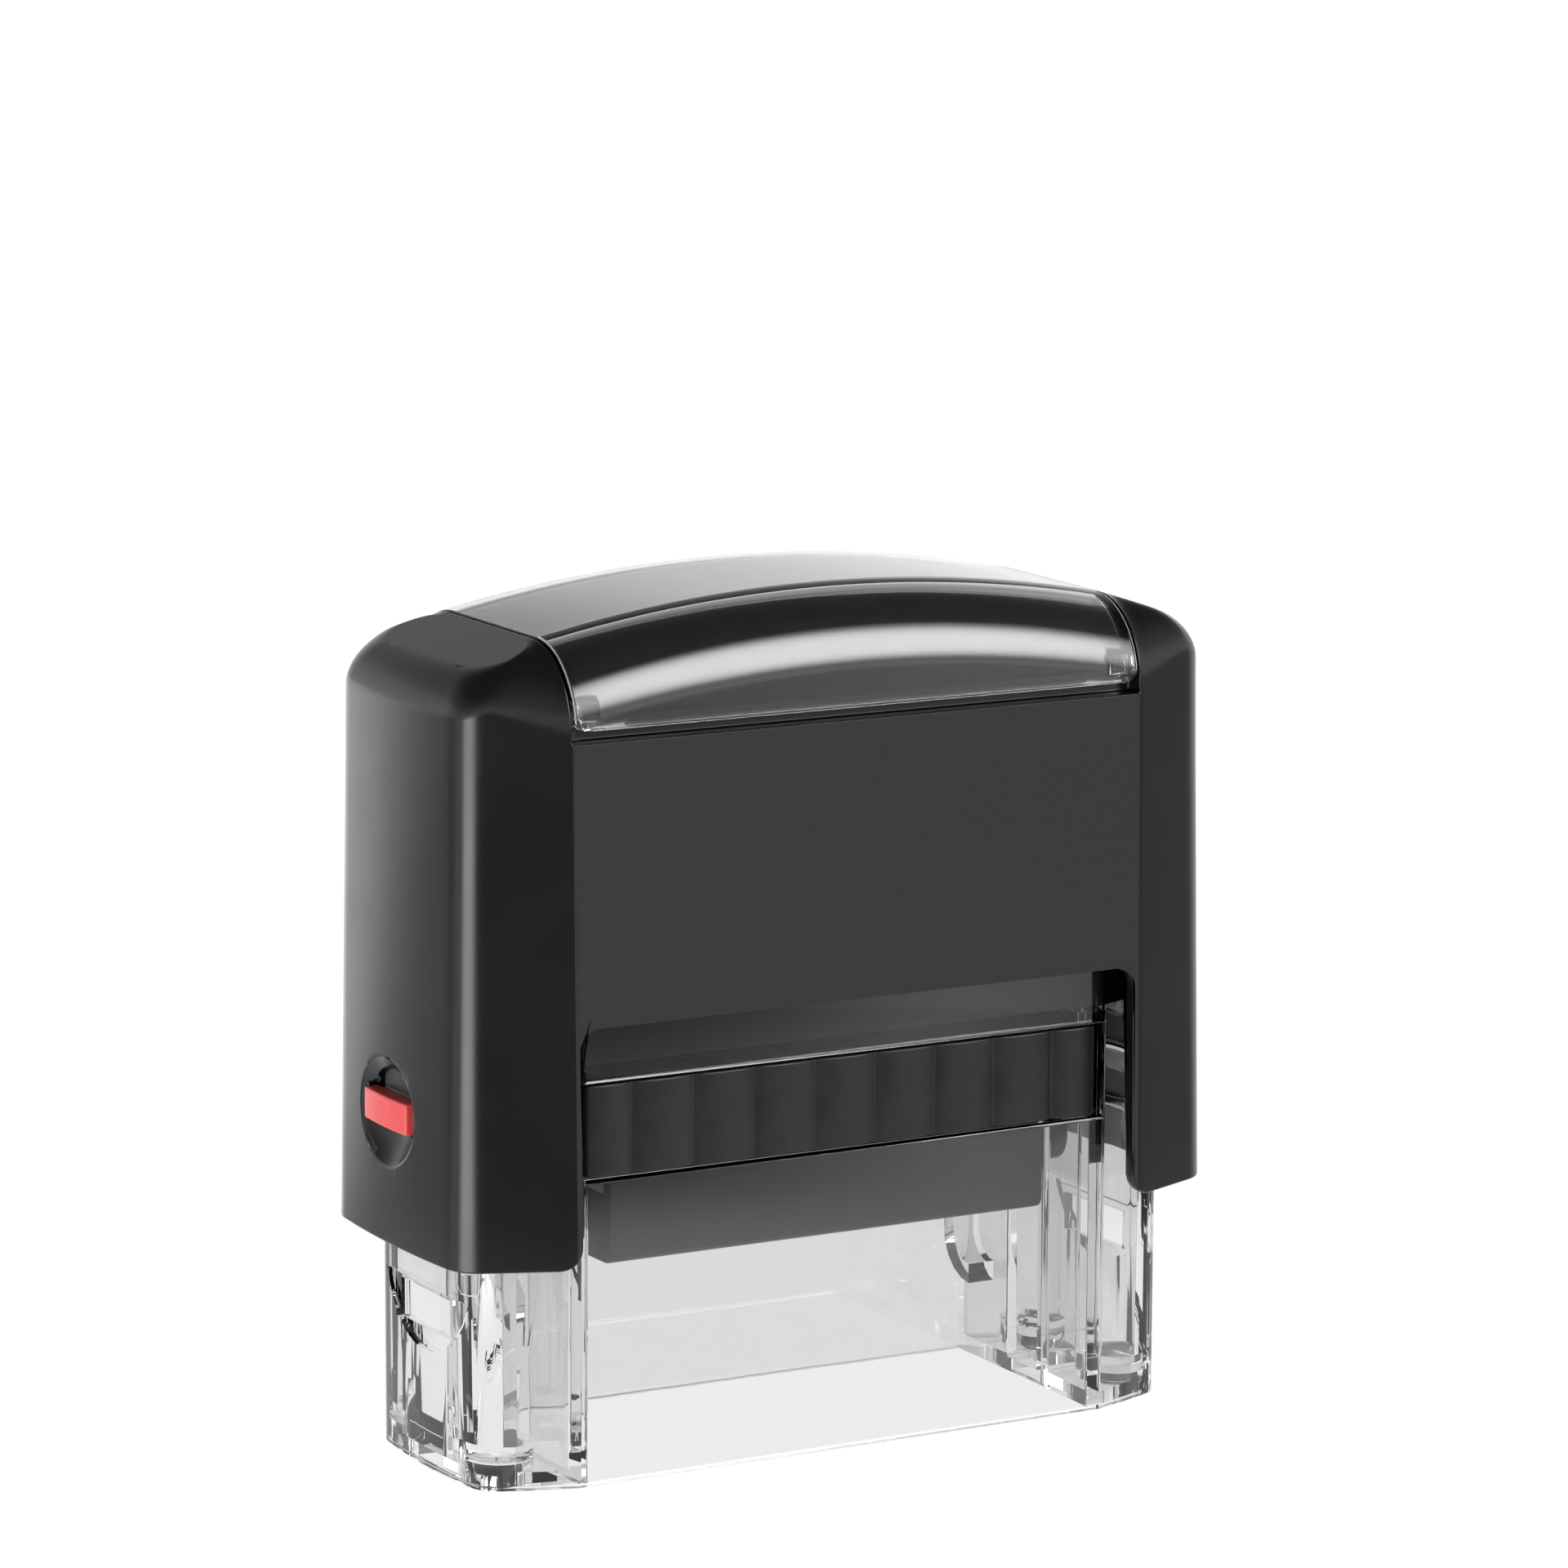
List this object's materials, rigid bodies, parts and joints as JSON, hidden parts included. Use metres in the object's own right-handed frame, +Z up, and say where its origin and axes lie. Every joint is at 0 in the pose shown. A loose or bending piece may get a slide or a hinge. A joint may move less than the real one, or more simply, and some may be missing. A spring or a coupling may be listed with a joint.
{
  "type": "self-inking stamp",
  "caption": "Free-standing self-inking stamp: press-down cap over a clear frame, with a text plate that turns over from its ink pad to the paper.",
  "frame": {"origin": "middle of the footprint, on the surface the stamp stands on", "axes": "+X along the stamp's length, +Z up towards the cap, -Y the side the ink cartridge is drawn out of"},
  "size_m": [0.0678, 0.0288, 0.0683],
  "materials": {
    "clear_plastic": "clear, polished",
    "window_plastic": "clear, polished",
    "cap_plastic": "black, satin sides and polished edges",
    "inner_plastic": "black, satin",
    "cartridge_plastic": "black, satin",
    "holder_plastic": "dark grey, matte",
    "button_plastic": "coral red, satin",
    "foot_rubber": "black, matte",
    "spring_steel": "bright drawn wire and pin",
    "ink_pad_foam": "ink-soaked felt",
    "index_card": "dark thin card",
    "cushion_foam": "pale foam",
    "die_rubber": "dark red laser-cut rubber"
  },
  "bodies": {
    "base": {"base_frame": "clear_plastic", "rubber_foot_front_left": "foot_rubber", "rubber_foot_front_right": "foot_rubber", "rubber_foot_rear_left": "foot_rubber", "rubber_foot_rear_right": "foot_rubber", "inner_bridge": "inner_plastic", "main_spring": "spring_steel"},
    "cartridge": {"pad_cartridge": "cartridge_plastic", "ink_pad": "ink_pad_foam"},
    "cap": {"cap_shell": "cap_plastic", "index_card": "index_card", "flip_yoke": "inner_plastic"},
    "window": {"index_window": "window_plastic"},
    "button_left": {"lock_button_left": "button_plastic"},
    "button_right": {"lock_button_right": "button_plastic"},
    "die": {"die_holder": "holder_plastic", "axle_pin_left": "spring_steel", "axle_pin_right": "spring_steel", "die_cushion": "cushion_foam", "rubber_die": "die_rubber"}
  },
  "joints": [
    {"name": "cap_press", "type": "slide", "parent": "base", "child": "cap", "axis": [0, 0, 1], "range_m": [-0.016, 0], "stiffness_N_per_m": 600, "springref_m": 0.01, "deforming": ["main_spring"]},
    {"name": "die_flip", "type": "hinge", "parent": "cap", "child": "die", "pos_m": [0, 0, 0.0206], "axis": [1, 0, 0], "range_deg": [0, 180]},
    {"name": "ink_pad_slide", "type": "slide", "parent": "base", "child": "cartridge", "axis": [0, -1, 0], "range_m": [0, 0.024]},
    {"name": "index_window_lift", "type": "slide", "parent": "cap", "child": "window", "axis": [0, 0, 1], "range_m": [0, 0.012]},
    {"name": "lock_button_left_swing", "type": "hinge", "parent": "cap", "child": "button_left", "pos_m": [-0.0323, 0, 0.043], "axis": [0, -1, 0], "range_deg": [0, 3.6], "stiffness_Nm_per_rad": 0.5},
    {"name": "lock_button_right_swing", "type": "hinge", "parent": "cap", "child": "button_right", "pos_m": [0.0323, 0, 0.043], "axis": [0, 1, 0], "range_deg": [0, 3.6], "stiffness_Nm_per_rad": 0.5}
  ],
  "couplings": [
    {"joint": "die_flip", "follows": "cap_press", "rad_per_m": -196.35}
  ]
}
